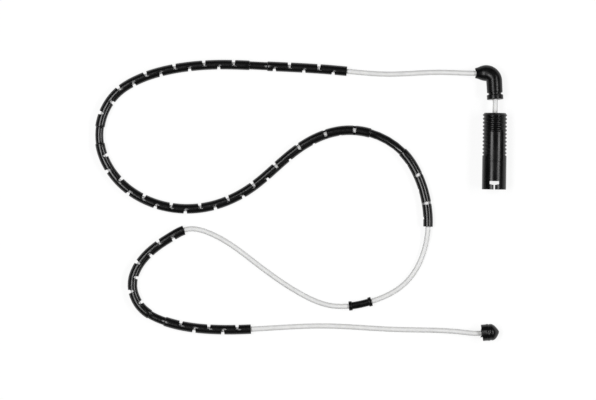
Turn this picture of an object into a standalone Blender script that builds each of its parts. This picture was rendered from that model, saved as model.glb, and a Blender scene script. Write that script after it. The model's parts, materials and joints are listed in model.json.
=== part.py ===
"""Brake pad wear sensor on its free cable, lying flat: a domed head, a jacketed cable with two
notched protective sleeves, a mounting grommet and an elbow boot, and a round ribbed plug.

Metres, +Z up. The head lies along +X, nose first, with the middle of its underside at the origin.
"""

import math
from collections import namedtuple

import bmesh
import bpy
import numpy as np
from mathutils import Matrix, Vector

MM = 0.001
GAP = 0.3 * MM  # between two pieces that touch

# Cable
CABLE_RADIUS = 1.75 * MM
LIE = 0.05 * MM  # keeps faceted pieces off the surface that they lie on
CORE_RADIUS = 0.5 * MM
CHORD_ERROR = 0.38 * MM  # how far the cable's straight chords may leave its smooth line
LONGEST_CHORD = 30 * MM
HEAD_DROP = 45 * MM  # where the cable has come down from the head
CLIMB = 16 * MM  # the cable's run up to a sleeve or grommet
BOOT_CLIMB = 40 * MM  # its run up to the boot

# Sensor head
HEAD_LENGTH = 12.4 * MM
HEAD_RADIUS = 5.8 * MM
FLAT_DEPTH = 0.35 * MM  # how deep the flat underside is cut into the barrel
RIDGE_AT = 4.7 * MM
RIDGE_WIDTH = 0.9 * MM
RIDGE_RISE = 0.3 * MM
GROOVE_AT = 6.0 * MM
GROOVE_WIDTH = 0.6 * MM
GROOVE_DEPTH = 0.3 * MM
RIM_WIDTH = 0.9 * MM
TIP_RADIUS = 0.6 * MM
HEAD_WALL = 1.6 * MM
GLAND_LIP_RADIUS = 3.1 * MM
GLAND_LIP_LENGTH = 1.6 * MM
GLAND_DEPTH = 1.8 * MM
LOOP_WIRE_RADIUS = 0.4 * MM
LOOP_HALF_WIDTH = 1.3 * MM
LOOP_COVER = 1.8 * MM  # nose in front of the loop
CRIMP_RADIUS = 0.95 * MM
CRIMP_BORE = 0.72 * MM
CRIMP_START = 3.6 * MM
CRIMP_LENGTH = 3.2 * MM
CRIMP_CLEARANCE = 0.4 * MM
WIRE_OVERLAP = 1.1 * MM  # how far a wire reaches into a crimp or contact

# Notched sleeves, their lengths and places measured along the cable
SLEEVE_RADIUS = 3.4 * MM
WAIST_RADIUS = 2.85 * MM
WAIST_TAPER = 0.8 * MM
SLEEVE_CLEARANCE = 0.5 * MM
NOTCH_MOUTH = 2.4 * MM
NOTCH_FLOOR = 1.4 * MM
SLEEVE_CORNERS = 8  # two of them lie on the diameter that the notches are cut down to
SLEEVE_SPAN = 9.0 * MM  # the longest run of a sleeve between two of its rings
LONG_SLEEVE_PLUG_END = 1046.1 * MM  # from the head's rear face
LONG_NOTCH_STEP = 10.33 * MM
LONG_SECTIONS = (55.3 * MM, 123.0 * MM, 226.2 * MM, 56.3 * MM)
LONG_LEADS = (9.4 * MM, 10.8 * MM, 8.9 * MM, 8.9 * MM)  # from a section's plug end to its first notch
LONG_FIRST_SIDES = (-1, 1, -1, 1)
LONG_WAISTS = (13.4 * MM, 12.6 * MM, 27.3 * MM)
LONG_TWIST = (
    (0, 15), (90 * MM, 12), (165 * MM, 0), (300 * MM, -6),
    (345 * MM, -24), (412 * MM, -72), (480 * MM, -74), (515 * MM, -62),
)
SHORT_SLEEVE_PLUG_END = 314.4 * MM
SHORT_NOTCH_STEP = 10.0 * MM
SHORT_SECTIONS = (80.0 * MM, 60.4 * MM)
SHORT_LEADS = (9.6 * MM, 10.8 * MM)
SHORT_FIRST_SIDES = (-1, -1)
SHORT_WAISTS = (12.4 * MM,)
SHORT_TWIST = ((0, 6), (153 * MM, 4))
NOTCH_MARGIN = 4.5 * MM  # plain length kept after a section's last notch

# Mounting grommet
GROMMET_AT = 453.2 * MM
GROMMET_LENGTH = 16.4 * MM
GROMMET_RADIUS = 2.55 * MM
GROMMET_FLANGE_RADIUS = 3.3 * MM
GROMMET_FLANGE = 2.4 * MM

# Elbow boot, a straight arm and leg joined by a bend about the elbow's inside corner
BOOT_START = 1136.2 * MM
BOOT_CORNER = (27.8 * MM, 174.1 * MM)  # from the middle of the head's rear face
BOOT_BEND = 5.7 * MM  # from that corner to the boot's centreline
BOOT_ARM_HEADING = -7.2
BOOT_LEG_HEADING = -94.9
BOOT_ARM = 7.4 * MM
BOOT_LEG = 13.1 * MM
BOOT_NECK_AT = 3.6 * MM
BOOT_MOUTH_RADIUS = 3.5 * MM
BOOT_NECK_RADIUS = 4.7 * MM
BOOT_ELBOW_RADIUS = 5.6 * MM
BOOT_LEG_RADIUS = 5.5 * MM
BOOT_FLANGE_RADIUS = 5.75 * MM
BOOT_FLANGE = 3.2 * MM
BOOT_GROOVE = 1.5 * MM
BOOT_GROOVE_RADIUS = 4.5 * MM
BOOT_BORE = 2.6 * MM
BOOT_MOUTH_DEPTH = 1.2 * MM
BOOT_CORNERS = 12

# Plug, measured from its cable end
PLUG_GAP = 9.2 * MM  # cable showing between the boot and the plug
PLUG_LENGTH = 53.7 * MM
PLUG_RADIUS = 8.5 * MM
RIB_COUNT = 11
RIB_PITCH = 2.65 * MM
FIRST_RIB = 1.6 * MM
RIB_CREST = 0.9 * MM
RIB_ROOT = 0.55 * MM
RIB_DEPTH = 0.85 * MM
PANEL_START = 13.0 * MM
PANEL_END = 34.0 * MM
PANEL_RISE = 0.35 * MM
PANEL_ANGLE = 36  # degrees each side of its middle
PANEL_TURN = 12  # degrees from straight up
SLOT_WINDOW_WIDTH = 7.0 * MM
SLOT_WINDOW_LENGTH = 2.7 * MM
SLOT_TAPER = 0.6 * MM
SLIT_WIDTH = 1.3 * MM
SLIT_LENGTH = 3.2 * MM
SOCKET_WALL = 1.8 * MM
SOCKET_DEPTH = 11.2 * MM
CARRIER_WALL = 2.6 * MM
SEAL_WALL = 1.25 * MM  # under the ribs' roots
SEAL_BORE_DEPTH = 15.5 * MM
SHOULDER_RISE = 1.6 * MM
SHOULDER_LENGTH = 2.0 * MM
RETAINER_LENGTH = 3.4 * MM
RETAINER_INSET = 0.5 * MM
SEAL_LIPS = 2
SEAL_LIP_DEPTH = 0.7 * MM
CONTACT_SPACING = 4.6 * MM
CONTACT_RADIUS = 1.3 * MM
CONTACT_BORE = 0.85 * MM
CONTACT_LENGTH = 18.0 * MM
INTERFACE_SEAL_BORE = 4.3 * MM
INTERFACE_SEAL_LENGTH = 2.0 * MM
ROUND_STEPS = 20
SMALL_STEPS = 10

CABLE_BORE = CABLE_RADIUS + GAP
HEAD_FLAT = HEAD_RADIUS - FLAT_DEPTH  # from the axis to the underside
HEAD_BORE_RADIUS = HEAD_RADIUS - HEAD_WALL
HEAD_BORE_DEPTH = CRIMP_START + CRIMP_LENGTH + CRIMP_CLEARANCE
LOOP_REACH = HEAD_LENGTH - LOOP_COVER - LOOP_WIRE_RADIUS
NOSE_START = GROOVE_AT + GROOVE_WIDTH / 2 + RIM_WIDTH
SOCKET_RADIUS = PLUG_RADIUS - SOCKET_WALL
CARRIER_BORE_RADIUS = PLUG_RADIUS - CARRIER_WALL
SEAL_BORE_RADIUS = PLUG_RADIUS - RIB_DEPTH - SEAL_WALL
SHOULDER_RADIUS = SEAL_BORE_RADIUS - SHOULDER_RISE
BOOT_SWEEP = BOOT_BEND * math.radians(BOOT_ARM_HEADING - BOOT_LEG_HEADING)
BOOT_END = BOOT_START + BOOT_ARM + BOOT_SWEEP + BOOT_LEG
PLUG_REAR_AT = BOOT_END + PLUG_GAP
HEAD_REAR_X = (GLAND_LIP_LENGTH - HEAD_LENGTH) / 2
CABLE_IN_HEAD = GLAND_DEPTH + GAP

Sleeve = namedtuple("Sleeve", "name plug_end sections leads waists first_sides step twist")
SLEEVES = (
    Sleeve(
        "long_sleeve", LONG_SLEEVE_PLUG_END, LONG_SECTIONS, LONG_LEADS, LONG_WAISTS,
        LONG_FIRST_SIDES, LONG_NOTCH_STEP, LONG_TWIST,
    ),
    Sleeve(
        "short_sleeve", SHORT_SLEEVE_PLUG_END, SHORT_SECTIONS, SHORT_LEADS, SHORT_WAISTS,
        SHORT_FIRST_SIDES, SHORT_NOTCH_STEP, SHORT_TWIST,
    ),
)

# The cable's route in plan, in millimetres from the middle of the head's rear face, chosen by hand
# from the head to the plug.
ROUTE = [
    (2.5, 0.0), (-2.4, 0.1), (-11.7, 2.1), (-59.5, 10.9), (-109.7, 20.4), (-190.5, 29.6),
    (-217.6, 38.6), (-233.6, 51.4), (-237.1, 68.0), (-227.1, 84.4), (-205.5, 97.0), (-193.2, 100.6),
    (-179.2, 96.0), (-149.6, 70.4), (-122.1, 45.3), (-102.4, 33.9), (-74.1, 32.5), (-47.8, 42.1),
    (-32.3, 61.4), (-28.5, 115.3), (-34.1, 128.8), (-46.0, 142.4), (-75.4, 153.8), (-107.5, 146.4),
    (-145.7, 123.0), (-178.5, 114.1), (-210.4, 120.0), (-237.3, 142.0), (-245.7, 173.1), (-230.4, 201.0),
    (-214.1, 208.9), (-186.6, 213.1), (-151.5, 211.0), (-127.2, 206.7), (-74.7, 196.2), (-38.8, 188.4),
    (-3.2, 184.7), (21.2, 180.7), (28.3, 179.6), (32.2, 177.6), (33.5, 173.4), (33.0, 167.0),
    (32.4, 160.5), (30.8, 150.5), (28.3, 134.4),
]


def clear_scene():
    for obj in list(bpy.data.objects):
        bpy.data.objects.remove(obj, do_unlink=True)


def material(name, color, roughness, metallic=0.0):
    made = bpy.data.materials.new(name)
    made.use_nodes = True
    shader = made.node_tree.nodes["Principled BSDF"]
    shader.inputs["Base Color"].default_value = (*color, 1)
    shader.inputs["Roughness"].default_value = roughness
    shader.inputs["Metallic"].default_value = metallic
    return made


def new_object(name, data, finish, parent=None):
    obj = bpy.data.objects.new(name, data)
    bpy.context.collection.objects.link(obj)
    data.materials.append(finish)
    obj.parent = parent
    return obj


def smooth(obj):
    obj.data.shade_smooth()
    obj.data.set_sharp_from_angle(angle=math.radians(35))


def spline_through(points, steps=24):
    """Dense points on the natural cubic spline through the points, its knots a chord apart."""
    points = np.array(points, float)
    chord = np.linalg.norm(np.diff(points, axis=0), axis=1)
    count = len(points)
    system = np.eye(count)
    right = np.zeros_like(points)
    for i in range(1, count - 1):
        system[i, i - 1 : i + 2] = chord[i - 1], 2 * (chord[i - 1] + chord[i]), chord[i]
        right[i] = 6 * ((points[i + 1] - points[i]) / chord[i] - (points[i] - points[i - 1]) / chord[i - 1])
    bend = np.linalg.solve(system, right)
    dense = []
    for i, span in enumerate(chord):
        t = np.linspace(0, 1, steps, endpoint=False)[:, None]
        u = 1 - t
        curve = u * points[i] + t * points[i + 1]
        dense.append(curve + span * span / 6 * ((u**3 - u) * bend[i] + (t**3 - t) * bend[i + 1]))
    return np.vstack(dense + [points[-1:]])


def rising_through(keys, at):
    """A height at each station on a smooth line through the keys that never overshoots them."""
    where, height = np.array(sorted(keys), float).T
    slope = np.diff(height) / np.diff(where)
    ends = np.zeros(len(where))
    for i in range(1, len(where) - 1):
        if slope[i - 1] * slope[i] > 0:
            ends[i] = 2 * slope[i - 1] * slope[i] / (slope[i - 1] + slope[i])
    i = np.clip(np.searchsorted(where, at, side="right") - 1, 0, len(where) - 2)
    span = where[i + 1] - where[i]
    t = np.clip((at - where[i]) / span, 0, 1)
    return (
        height[i] * (2 * t**3 - 3 * t**2 + 1)
        + height[i + 1] * (3 * t**2 - 2 * t**3)
        + span * (ends[i] * (t**3 - 2 * t**2 + t) + ends[i + 1] * (t**3 - t**2))
    )


class CableLine:
    """The cable's centreline by station, the distance along it from the head's rear face."""

    def __init__(self):
        plan = spline_through(ROUTE) * MM
        plan[:, 0] += HEAD_REAR_X
        arc = np.concatenate([[0], np.cumsum(np.linalg.norm(np.diff(plan, axis=0), axis=1))])
        rear = np.interp(-HEAD_REAR_X, -plan[:40, 0], arc[:40])
        self.stations = arc - rear
        self.start = -CABLE_IN_HEAD
        self.end = PLUG_REAR_AT + SEAL_BORE_DEPTH
        height = rising_through(self.height_keys(), self.stations)
        self.points = np.column_stack([plan, height])

    def height_keys(self):
        keys = [(-CABLE_IN_HEAD, HEAD_FLAT), (GLAND_LIP_LENGTH, HEAD_FLAT)]
        keys.append((HEAD_DROP, CABLE_RADIUS + LIE))
        grommet_half = GROMMET_LENGTH / 2
        carried = [(GROMMET_AT - grommet_half, GROMMET_AT + grommet_half, GROMMET_FLANGE_RADIUS)]
        for sleeve in SLEEVES:
            notches, waists, head_end = sleeve_layout(sleeve)
            carried.append((head_end, sleeve.plug_end, SLEEVE_RADIUS))
        for start, end, radius in carried:
            keys += [(start - CLIMB, CABLE_RADIUS + LIE), (start, radius + LIE)]
            keys += [(end, radius + LIE), (end + CLIMB, CABLE_RADIUS + LIE)]
        keys.append((BOOT_START - BOOT_CLIMB, CABLE_RADIUS + LIE))
        keys.append((BOOT_START + BOOT_ARM, BOOT_ELBOW_RADIUS + LIE))
        keys += [(PLUG_REAR_AT, PLUG_RADIUS), (PLUG_REAR_AT + SEAL_BORE_DEPTH, PLUG_RADIUS)]
        return keys

    def at(self, station):
        return np.array([np.interp(station, self.stations, self.points[:, k]) for k in range(3)])

    def frame(self, station):
        """Unit vectors at a station: along the cable, to its left, and upwards."""
        along = self.at(station + 0.2 * MM) - self.at(station - 0.2 * MM)
        along /= np.linalg.norm(along)
        left = np.cross((0, 0, 1), along)
        left /= np.linalg.norm(left)
        return along, left, np.cross(along, left)

    def chord_stations(self, candidates, fixed):
        """The fixed stations, and the fewest candidates that keep the chords near the line."""
        candidates = sorted(candidates | fixed)
        kept = [candidates[0]]
        last = candidates[0]
        for station in candidates[1:]:
            strayed = self.chord_error(kept[-1], station) > CHORD_ERROR
            if station - kept[-1] > LONGEST_CHORD or strayed or last in fixed:
                if last != kept[-1]:
                    kept.append(last)
            last = station
        return kept + [last]

    def chord_error(self, start, end):
        between = np.linspace(start, end, 9)
        line = np.array([self.at(s) for s in between])
        chord = line[0] + (line[-1] - line[0]) * np.linspace(0, 1, 9)[:, None]
        return np.linalg.norm(line - chord, axis=1).max()


def sleeve_layout(sleeve):
    """A sleeve's notches with the side of each, its waists, and its head end, all as stations."""
    notches = []
    waists = []
    reached = sleeve.plug_end
    for i, length in enumerate(sleeve.sections):
        lead = sleeve.leads[i]
        count = int((length - lead - NOTCH_MARGIN) / sleeve.step + 1e-6) + 1
        for k in range(count):
            side = sleeve.first_sides[i] * (-1) ** k
            notches.append((reached - lead - k * sleeve.step, side))
        reached -= length
        if i < len(sleeve.waists):
            waists.append((reached - sleeve.waists[i], reached))
            reached -= sleeve.waists[i]
    return sorted(notches), sorted(waists), reached


def swept_mesh(name, corners, rings, place, open_side):
    """A closed hollow mesh of rings of corners. open_side[i] is the side cut away after ring i, or 0."""
    mesh = bmesh.new()
    outer = []
    inner = []
    for i, ring in enumerate(rings):
        outer.append([mesh.verts.new(place(ring, j, True)) for j in range(corners)])
        inner.append([mesh.verts.new(place(ring, j, False)) for j in range(corners)])

    def solid(i, j):
        if i < 0 or i >= len(rings) - 1:
            return False
        middle = 2 * math.pi * (j % corners + 0.5) / corners + math.pi / 2
        return not open_side[i] or open_side[i] * math.cos(middle) < 0

    for i in range(len(rings)):
        for j in range(corners):
            k = (j + 1) % corners
            if solid(i, j):
                mesh.faces.new((outer[i][j], outer[i][k], outer[i + 1][k], outer[i + 1][j]))
                mesh.faces.new((inner[i][k], inner[i][j], inner[i + 1][j], inner[i + 1][k]))
                if not solid(i, j - 1):
                    mesh.faces.new((inner[i][j], outer[i][j], outer[i + 1][j], inner[i + 1][j]))
                if not solid(i, j + 1):
                    mesh.faces.new((outer[i][k], inner[i][k], inner[i + 1][k], outer[i + 1][k]))
            if solid(i, j) and not solid(i - 1, j):
                mesh.faces.new((outer[i][k], outer[i][j], inner[i][j], inner[i][k]))
            if solid(i - 1, j) and not solid(i, j):
                mesh.faces.new((outer[i][j], outer[i][k], inner[i][k], inner[i][j]))
    bmesh.ops.recalc_face_normals(mesh, faces=mesh.faces)
    data = bpy.data.meshes.new(name)
    mesh.to_mesh(data)
    mesh.free()
    return data


def build_sleeve(sleeve, line, finish):
    """A protective sleeve round the cable, notched from its two sides in turn."""
    notches, waists, head_end = sleeve_layout(sleeve)
    cuts = [(head_end, SLEEVE_RADIUS, 0, 0)]
    for station, side in notches:
        cuts.append((station, SLEEVE_RADIUS, side, -1))
        cuts.append((station, SLEEVE_RADIUS, side, 1))
    for start, end in waists:
        cuts.append((start, SLEEVE_RADIUS, 0, 0))
        cuts.append((start + WAIST_TAPER, WAIST_RADIUS, 0, 0))
        cuts.append(((start + end) / 2, WAIST_RADIUS, 0, 0))
        cuts.append((end - WAIST_TAPER, WAIST_RADIUS, 0, 0))
        cuts.append((end, SLEEVE_RADIUS, 0, 0))
    cuts.append((sleeve.plug_end, SLEEVE_RADIUS, 0, 0))
    cuts.sort(key=lambda cut: (cut[0], cut[3]))
    for before, after in list(zip(cuts, cuts[1:])):
        run = after[0] - before[0]
        pieces = math.ceil((run - NOTCH_FLOOR) / SLEEVE_SPAN)
        for k in range(1, pieces):
            cuts.append((before[0] + run * k / pieces, before[1], 0, 0))
    cuts.sort(key=lambda cut: (cut[0], cut[3]))
    bore = CABLE_RADIUS + SLEEVE_CLEARANCE
    twist_at, twist_by = np.array(sleeve.twist, float).T

    def place(cut, corner, outside):
        station, radius, side, edge = cut
        angle = 2 * math.pi * corner / SLEEVE_CORNERS + math.pi / 2
        reach = max(side * math.cos(angle), 0.0) * (1 if outside else bore / SLEEVE_RADIUS)
        station += edge * (NOTCH_FLOOR + (NOTCH_MOUTH - NOTCH_FLOOR) * reach) / 2
        turned = angle + math.radians(np.interp(sleeve.plug_end - station, twist_at, twist_by))
        along, left, up = line.frame(station)
        away = math.cos(turned) * left + math.sin(turned) * up
        return line.at(station) + away * (radius if outside else bore)

    open_side = [cut[2] if cut[3] == -1 else 0 for cut in cuts]
    data = swept_mesh(sleeve.name, SLEEVE_CORNERS, cuts, place, open_side)
    smooth(new_object(sleeve.name, data, finish))


def collar_on_cable(name, line, finish, rings, corners):
    """A hollow piece threaded on the cable, from rings of (station, outer radius, bore radius)."""

    def place(ring, corner, outside):
        station, radius, bore = ring
        angle = 2 * math.pi * (corner + 0.5) / corners
        along, left, up = line.frame(station)
        away = math.cos(angle) * left + math.sin(angle) * up
        return line.at(station) + away * (radius if outside else bore)

    data = swept_mesh(name, corners, rings, place, [0] * len(rings))
    smooth(new_object(name, data, finish))


def turned(name, profile, finish, parent, steps=ROUND_STEPS):
    """A solid turned about its parent's Z axis, from a closed outline of (along, radius) points."""
    outline = [Vector((radius, 0, along)) for along, radius in profile]
    area = sum(a.x * b.z - b.x * a.z for a, b in zip(outline, outline[1:] + outline[:1]))
    if area > 0:
        outline.reverse()
    mesh = bmesh.new()
    points = [mesh.verts.new(point) for point in outline]
    for a, b in zip(points, points[1:] + points[:1]):
        if a.co.x > 1e-9 or b.co.x > 1e-9:
            mesh.edges.new((a, b))
    data = bpy.data.meshes.new(name)
    mesh.to_mesh(data)
    mesh.free()
    obj = new_object(name, data, finish, parent)
    screw = obj.modifiers.new("Turn", "SCREW")
    screw.axis = "Z"
    screw.angle = 2 * math.pi
    screw.steps = screw.render_steps = steps
    screw.use_merge_vertices = True
    screw.merge_threshold = 1e-6
    screw.use_smooth_shade = True
    return obj


def cutter(name, data, parent):
    obj = bpy.data.objects.new(name, data)
    bpy.context.collection.objects.link(obj)
    obj.parent = parent
    obj.hide_render = True
    obj.display_type = "WIRE"
    return obj


def extruded(name, outline, by):
    """A solid from a flat outline of points, drawn out by a vector."""
    mesh = bmesh.new()
    face = mesh.faces.new([mesh.verts.new(point) for point in outline])
    made = bmesh.ops.extrude_face_region(mesh, geom=[face])["geom"]
    far_end = [item for item in made if isinstance(item, bmesh.types.BMVert)]
    bmesh.ops.translate(mesh, verts=far_end, vec=by)
    bmesh.ops.recalc_face_normals(mesh, faces=mesh.faces)
    data = bpy.data.meshes.new(name)
    mesh.to_mesh(data)
    mesh.free()
    return data


def prism(name, outline, from_y, to_y):
    """An outline in (across, along) drawn out from one height to another."""
    return extruded(name, [(x, from_y, z) for x, z in outline], (0, to_y - from_y, 0))


def rod_data(name, radius, start, end, across=0.0, steps=SMALL_STEPS):
    mesh = bmesh.new()
    bmesh.ops.create_cone(
        mesh, cap_ends=True, segments=steps, radius1=radius, radius2=radius, depth=end - start,
        matrix=Matrix.Translation((across, 0, (start + end) / 2)),
    )
    data = bpy.data.meshes.new(name)
    mesh.to_mesh(data)
    mesh.free()
    return data


def boolean(obj, other, operation):
    modifier = obj.modifiers.new(other.name, "BOOLEAN")
    modifier.operation = operation
    modifier.object = other
    modifier.solver = "EXACT"


def wire(name, points, radius, finish, parent=None, sides=2):
    """A wire through its points, as a curve with a bevel and filled caps."""
    data = bpy.data.curves.new(name, "CURVE")
    data.dimensions = "3D"
    data.bevel_depth = radius
    data.bevel_resolution = sides
    data.use_fill_caps = True
    data.resolution_u = 1
    data.render_resolution_u = 0
    spline = data.splines.new("POLY")
    spline.points.add(len(points) - 1)
    for point, at in zip(spline.points, points):
        point.co = (*at, 1)
    return new_object(name, data, finish, parent)


def axis_empty(name, position, along):
    """An empty whose Z axis runs along the piece, with its Y axis upwards."""
    empty = bpy.data.objects.new(name, None)
    bpy.context.collection.objects.link(empty)
    z = Vector(along).normalized()
    y = (Vector((0, 0, 1)) - z * z.z).normalized()
    x = y.cross(z)
    turn = Matrix((x, y, z)).transposed().to_4x4()
    empty.matrix_world = Matrix.Translation(position) @ turn
    return empty


def ring_profile(start, end, outer, inner):
    return [(start, inner), (start, outer), (end, outer), (end, inner)]


def rectangle(half_width, start, end):
    return [(-half_width, start), (half_width, start), (half_width, end), (-half_width, end)]


def build_head(black, rubber, copper, brass, core_finish):
    axis = axis_empty("head_axis", (HEAD_REAR_X, 0, HEAD_FLAT), (1, 0, 0))
    nose_length = HEAD_LENGTH - NOSE_START
    nose = []
    for t in (0.2, 0.42, 0.62, 0.8):
        nose.append((NOSE_START + nose_length * t, HEAD_RADIUS * math.cos(math.pi / 2 * t)))
    profile = [
        (0, HEAD_BORE_RADIUS),
        (0, HEAD_RADIUS),
        (RIDGE_AT - RIDGE_WIDTH, HEAD_RADIUS),
        (RIDGE_AT - RIDGE_WIDTH / 2, HEAD_RADIUS + RIDGE_RISE),
        (RIDGE_AT + RIDGE_WIDTH / 2, HEAD_RADIUS + RIDGE_RISE),
        (GROOVE_AT - GROOVE_WIDTH / 2, HEAD_RADIUS - GROOVE_DEPTH),
        (GROOVE_AT + GROOVE_WIDTH / 2, HEAD_RADIUS - GROOVE_DEPTH),
        (NOSE_START - RIM_WIDTH / 2, HEAD_RADIUS),
        (NOSE_START, HEAD_RADIUS),
        *nose,
        (HEAD_LENGTH - TIP_RADIUS / 4, TIP_RADIUS),
        (HEAD_LENGTH, 0),
        (HEAD_BORE_DEPTH, 0),
        (HEAD_BORE_DEPTH, HEAD_BORE_RADIUS),
    ]
    body = turned("head_body", profile, black, axis)

    below = rectangle(2 * HEAD_RADIUS, -HEAD_LENGTH, 2 * HEAD_LENGTH)
    flat = prism("underside_cutter", below, -2 * HEAD_RADIUS, -HEAD_FLAT)
    boolean(body, cutter("underside_cutter", flat, axis), "DIFFERENCE")

    wire_room = LOOP_WIRE_RADIUS + GAP
    pocket = rectangle(LOOP_HALF_WIDTH + wire_room, HEAD_BORE_DEPTH - GAP, LOOP_REACH + wire_room)
    pocket_cutter = prism("loop_pocket_cutter", pocket, -wire_room, wire_room)
    boolean(body, cutter("loop_pocket_cutter", pocket_cutter, axis), "DIFFERENCE")

    gland_radius = HEAD_BORE_RADIUS - GAP
    gland = [
        (-GLAND_LIP_LENGTH, CABLE_BORE),
        (-GLAND_LIP_LENGTH, GLAND_LIP_RADIUS - GAP),
        (-GLAND_LIP_LENGTH / 2, GLAND_LIP_RADIUS),
        (0, GLAND_LIP_RADIUS),
        (0, gland_radius),
        (GLAND_DEPTH, gland_radius),
        (GLAND_DEPTH, CABLE_BORE),
    ]
    turned("cable_gland", gland, rubber, axis)

    crimp_end = CRIMP_START + CRIMP_LENGTH
    leg_start = crimp_end - WIRE_OVERLAP
    bend_centre = LOOP_REACH - LOOP_HALF_WIDTH
    loop = [(-LOOP_HALF_WIDTH, 0, leg_start)]
    for k in range(7):
        turn = math.pi * k / 6
        loop.append((-LOOP_HALF_WIDTH * math.cos(turn), 0, bend_centre + LOOP_HALF_WIDTH * math.sin(turn)))
    loop.append((LOOP_HALF_WIDTH, 0, leg_start))
    wire("sensing_loop", loop, LOOP_WIRE_RADIUS, copper, axis, sides=1)

    core_start = CABLE_IN_HEAD + GAP
    core_offset = CABLE_RADIUS / 2
    for n, side in enumerate((-1, 1), 1):
        crimp_profile = ring_profile(CRIMP_START, crimp_end, CRIMP_RADIUS, CRIMP_BORE)
        crimp = turned(f"crimp_sleeve_{n}", crimp_profile, brass, axis, SMALL_STEPS)
        crimp.location = (side * LOOP_HALF_WIDTH, 0, 0)
        core = [
            (side * core_offset, 0, core_start),
            (side * core_offset, 0, core_start + GAP),
            (side * LOOP_HALF_WIDTH, 0, CRIMP_START - GAP),
            (side * LOOP_HALF_WIDTH, 0, CRIMP_START + WIRE_OVERLAP),
        ]
        wire(f"head_core_{n}", core, CRIMP_BORE - GAP, core_finish, axis, sides=1)


def build_cable(line, finish):
    candidates = set(np.arange(line.start, line.end, 3 * MM))
    fixed = {line.start, GLAND_LIP_LENGTH + CABLE_RADIUS / 2, PLUG_REAR_AT, line.end}
    for sleeve in SLEEVES:
        fixed |= {sleeve_layout(sleeve)[2], sleeve.plug_end}
    stations = line.chord_stations(candidates, fixed)
    wire("cable", [line.at(s) for s in stations], CABLE_RADIUS, finish)


def build_grommet(line, rubber):
    start = GROMMET_AT - GROMMET_LENGTH / 2
    end = GROMMET_AT + GROMMET_LENGTH / 2
    bore = CABLE_RADIUS + SLEEVE_CLEARANCE
    rings = [
        (start, GROMMET_FLANGE_RADIUS, bore),
        (start + GROMMET_FLANGE * 0.7, GROMMET_FLANGE_RADIUS, bore),
        (start + GROMMET_FLANGE, GROMMET_RADIUS, bore),
        (GROMMET_AT, GROMMET_RADIUS, bore),
        (end - GROMMET_FLANGE, GROMMET_RADIUS, bore),
        (end - GROMMET_FLANGE * 0.7, GROMMET_FLANGE_RADIUS, bore),
        (end, GROMMET_FLANGE_RADIUS, bore),
    ]
    collar_on_cable("mounting_grommet", line, rubber, rings, BOOT_CORNERS)


def boot_point(along):
    """The boot's centreline in plan at a distance from its mouth, and its heading there in radians."""
    past_arm = along - BOOT_ARM
    arm = math.radians(BOOT_ARM_HEADING)
    heading = arm - min(max(past_arm, 0), BOOT_SWEEP) / BOOT_BEND
    straight = min(past_arm, 0) + max(past_arm - BOOT_SWEEP, 0)
    x = BOOT_CORNER[0] + HEAD_REAR_X - BOOT_BEND * math.sin(heading) + straight * math.cos(heading)
    y = BOOT_CORNER[1] + BOOT_BEND * math.cos(heading) + straight * math.sin(heading)
    return x, y, heading


def build_boot(line, rubber):
    """The elbow boot, whose upright rings fan about the inside corner of its bend."""
    length = BOOT_END - BOOT_START
    flange_start = length - BOOT_FLANGE
    groove_start = flange_start - BOOT_GROOVE
    flared = (BOOT_MOUTH_RADIUS + BOOT_NECK_RADIUS) / 2
    exit_bore = CABLE_RADIUS + SLEEVE_CLEARANCE
    rings = [(0, BOOT_MOUTH_RADIUS, BOOT_BORE), (BOOT_MOUTH_DEPTH, flared, BOOT_BORE)]
    rings.append((BOOT_NECK_AT, BOOT_NECK_RADIUS, BOOT_BORE))
    for share in (0, 0.25, 0.5, 0.75, 1):
        rings.append((BOOT_ARM + share * BOOT_SWEEP, BOOT_ELBOW_RADIUS, BOOT_BORE))
    rings += [
        (groove_start, BOOT_LEG_RADIUS, BOOT_BORE),
        (groove_start + GAP, BOOT_GROOVE_RADIUS, exit_bore),
        (flange_start - GAP, BOOT_GROOVE_RADIUS, exit_bore),
        (flange_start, BOOT_FLANGE_RADIUS, exit_bore),
        (length, BOOT_FLANGE_RADIUS, exit_bore),
    ]

    def place(ring, corner, outside):
        along, radius, bore = ring
        x, y, heading = boot_point(along)
        angle = 2 * math.pi * (corner + 0.5) / BOOT_CORNERS
        reach = radius if outside else bore
        across = reach * math.cos(angle)
        height = line.at(BOOT_START + along)[2] + reach * math.sin(angle)
        return x - across * math.sin(heading), y + across * math.cos(heading), height

    data = swept_mesh("elbow_boot", BOOT_CORNERS, rings, place, [0] * len(rings))
    smooth(new_object("elbow_boot", data, rubber))


def housing_profile():
    ribs = []
    root = PLUG_RADIUS - RIB_DEPTH
    for n in range(RIB_COUNT):
        middle = FIRST_RIB + n * RIB_PITCH
        if n > 0:
            ribs.append((middle - RIB_PITCH / 2 + RIB_ROOT / 2, root))
        ribs.append((middle - RIB_CREST / 2, PLUG_RADIUS))
        ribs.append((middle + RIB_CREST / 2, PLUG_RADIUS))
        ribs.append((middle + RIB_PITCH / 2 - RIB_ROOT / 2, root))
    smooth_start = FIRST_RIB + (RIB_COUNT - 0.5) * RIB_PITCH + RIB_ROOT
    shoulder_start = SEAL_BORE_DEPTH
    shoulder_end = shoulder_start + SHOULDER_LENGTH
    socket_start = PLUG_LENGTH - SOCKET_DEPTH
    return [
        (0, SEAL_BORE_RADIUS),
        (0, PLUG_RADIUS - RIB_DEPTH / 2),
        *ribs,
        (smooth_start, PLUG_RADIUS),
        (PLUG_LENGTH, PLUG_RADIUS),
        (PLUG_LENGTH, SOCKET_RADIUS),
        (socket_start, SOCKET_RADIUS),
        (socket_start, CARRIER_BORE_RADIUS),
        (shoulder_end, CARRIER_BORE_RADIUS),
        (shoulder_end, SHOULDER_RADIUS),
        (shoulder_start, SHOULDER_RADIUS),
        (shoulder_start, SEAL_BORE_RADIUS),
    ]


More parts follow.
